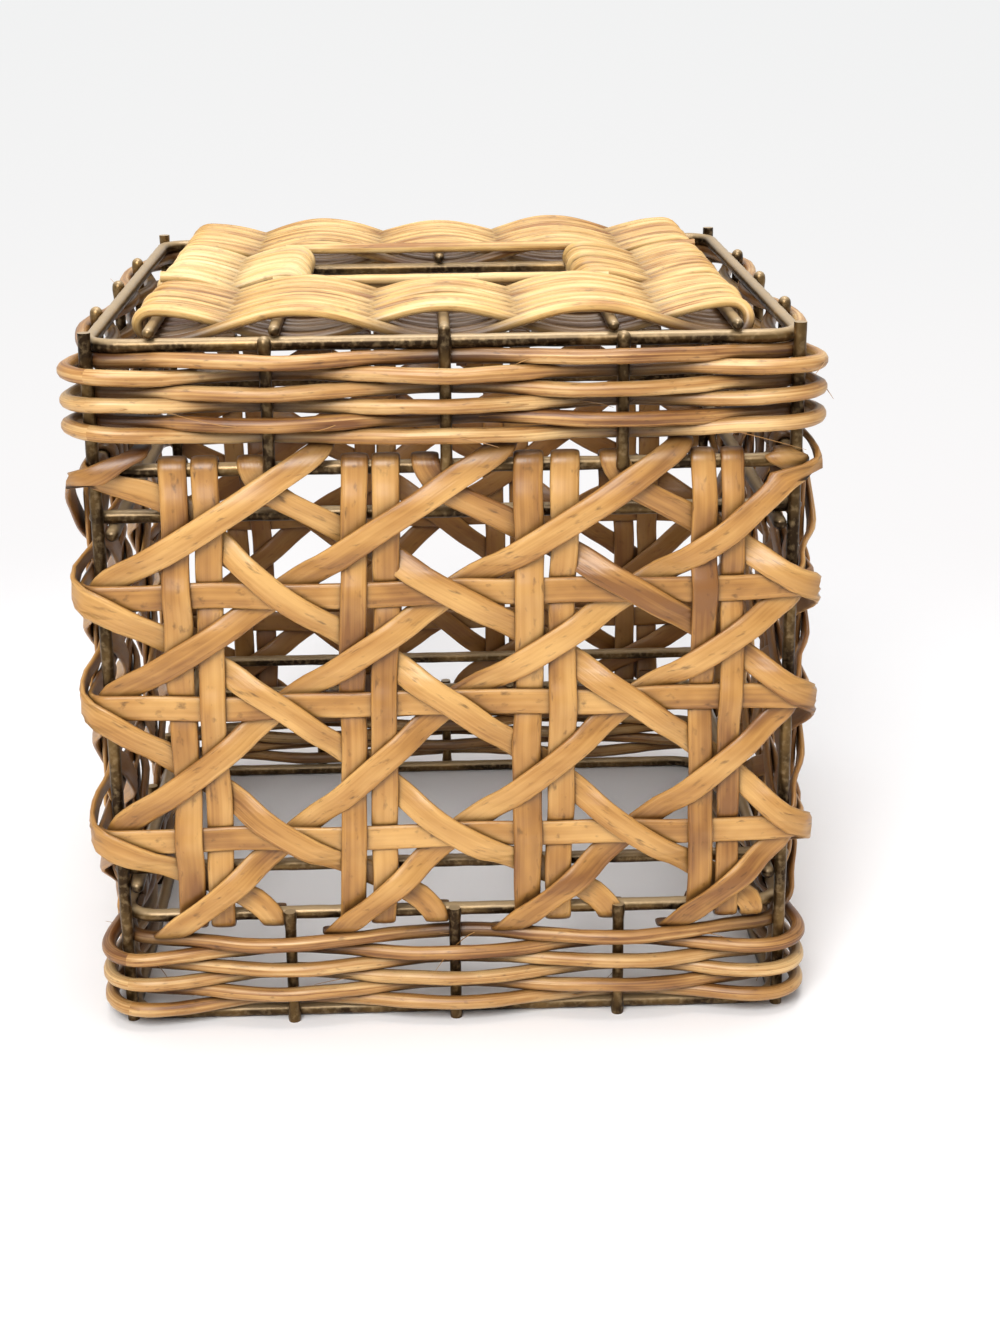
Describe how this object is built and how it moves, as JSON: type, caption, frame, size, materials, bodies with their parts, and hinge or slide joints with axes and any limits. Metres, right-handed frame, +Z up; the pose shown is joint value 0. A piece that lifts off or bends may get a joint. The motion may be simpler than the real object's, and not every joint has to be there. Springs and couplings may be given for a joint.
{
  "type": "tissue box cover",
  "caption": "Square woven cover for a boutique tissue box: wire frame, reed bands, open cane lattice sides and a woven reed top with a rectangular slot; open underneath.",
  "frame": {"origin": "on the floor under the middle of the cover", "axes": "+Z up, -Y out of the front side, +X to the right when the front is looked at"},
  "size_m": [0.1414, 0.1414, 0.1408],
  "materials": {
    "frame_wire": "antique bronze, satin",
    "band_reed": "stained round reed, satin",
    "top_reed": "pale round reed, satin",
    "cane": "honey flat cane, satin"
  },
  "bodies": {
    "root": {"bottom_rim": "frame_wire", "corner_post_back_left": "frame_wire", "corner_post_back_right": "frame_wire", "corner_post_front_left": "frame_wire", "corner_post_front_right": "frame_wire", "falling_canes_back": "cane", "falling_canes_front": "cane", "falling_canes_left": "cane", "falling_canes_right": "cane", "girdle_cane_1": "cane", "girdle_cane_2": "cane", "girdle_cane_3": "cane", "lower_band_reed_1": "band_reed", "lower_band_reed_2": "band_reed", "lower_band_reed_3": "band_reed", "lower_band_reed_4": "band_reed", "lower_band_reed_5": "band_reed", "lower_band_reed_6": "band_reed", "lower_rail": "frame_wire", "lower_stakes_back": "frame_wire", "lower_stakes_front": "frame_wire", "lower_stakes_left": "frame_wire", "lower_stakes_right": "frame_wire", "lower_tie_wires_front_back": "frame_wire", "lower_tie_wires_left_right": "frame_wire", "rising_canes_back": "cane", "rising_canes_front": "cane", "rising_canes_left": "cane", "rising_canes_right": "cane", "slot_edge_reed": "top_reed", "slot_wire_back": "frame_wire", "slot_wire_front": "frame_wire", "top_reed_back": "top_reed", "top_reed_front": "top_reed", "top_reed_left_of_slot": "top_reed", "top_reed_right_of_slot": "top_reed", "top_rim": "frame_wire", "top_stake_left": "frame_wire", "top_stake_left_end": "frame_wire", "top_stake_middle_back": "frame_wire", "top_stake_middle_front": "frame_wire", "top_stake_right": "frame_wire", "top_stake_right_end": "frame_wire", "upper_band_reed_1": "band_reed", "upper_band_reed_2": "band_reed", "upper_band_reed_3": "band_reed", "upper_band_reed_4": "band_reed", "upper_band_reed_5": "band_reed", "upper_band_reed_6": "band_reed", "upper_rail": "frame_wire", "upper_stakes_back": "frame_wire", "upper_stakes_front": "frame_wire", "upper_stakes_left": "frame_wire", "upper_stakes_right": "frame_wire", "upper_tie_wires_front_back": "frame_wire", "upper_tie_wires_left_right": "frame_wire", "upright_canes_back": "cane", "upright_canes_front": "cane", "upright_canes_left": "cane", "upright_canes_right": "cane"}
  },
  "joints": []
}
